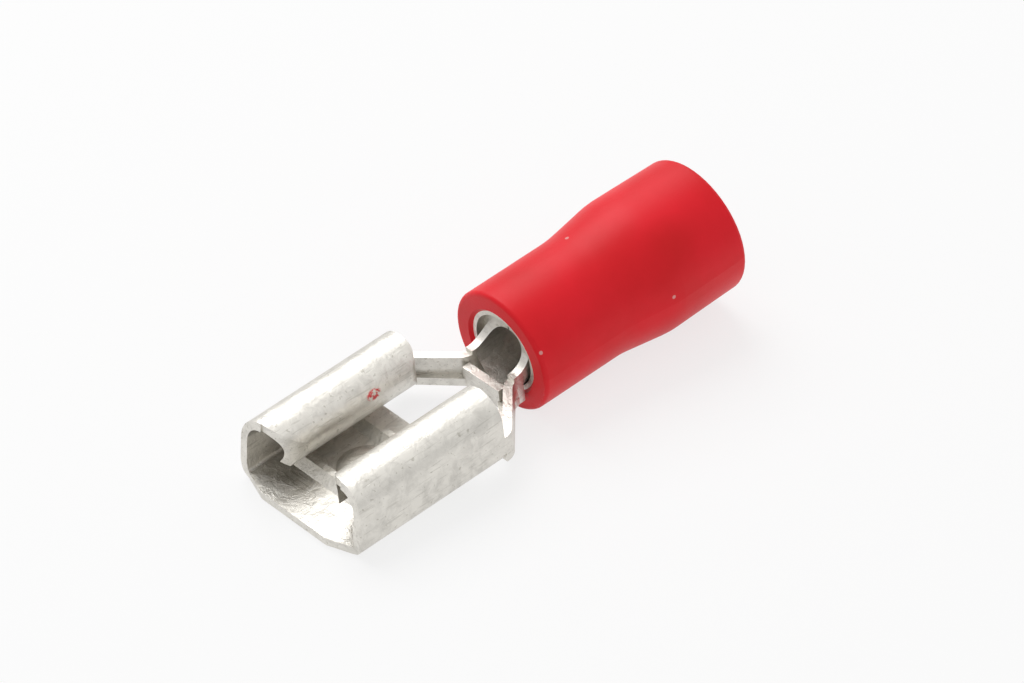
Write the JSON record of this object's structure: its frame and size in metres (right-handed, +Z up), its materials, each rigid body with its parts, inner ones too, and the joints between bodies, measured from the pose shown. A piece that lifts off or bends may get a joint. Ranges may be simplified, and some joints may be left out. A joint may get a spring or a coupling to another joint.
{
  "type": "insulated female spade terminal",
  "caption": "Insulated female spade terminal: folded tinned receptacle with rolled sides, open neck and wire barrel inside a red vinyl sleeve that steps wider at the wire end.",
  "frame": {"origin": "centre of the bounding box's underside, on the ground that the part rests on", "axes": "+X across the tab, +Y from the tab mouth towards the wire end, +Z up; the terminal's own axis rises 4.56 degrees towards the wire end, as the part lies at rest"},
  "size_m": [0.0076, 0.023, 0.0068],
  "materials": {
    "tinned_contact": "bright satin tin plate, mottled and lightly scratched",
    "support_metal": "satin tin plate",
    "red_vinyl": "soft satin vinyl"
  },
  "bodies": {
    "root": {"contact": "tinned_contact", "support_sleeve": "support_metal", "insulation_sleeve": "red_vinyl"}
  },
  "joints": []
}
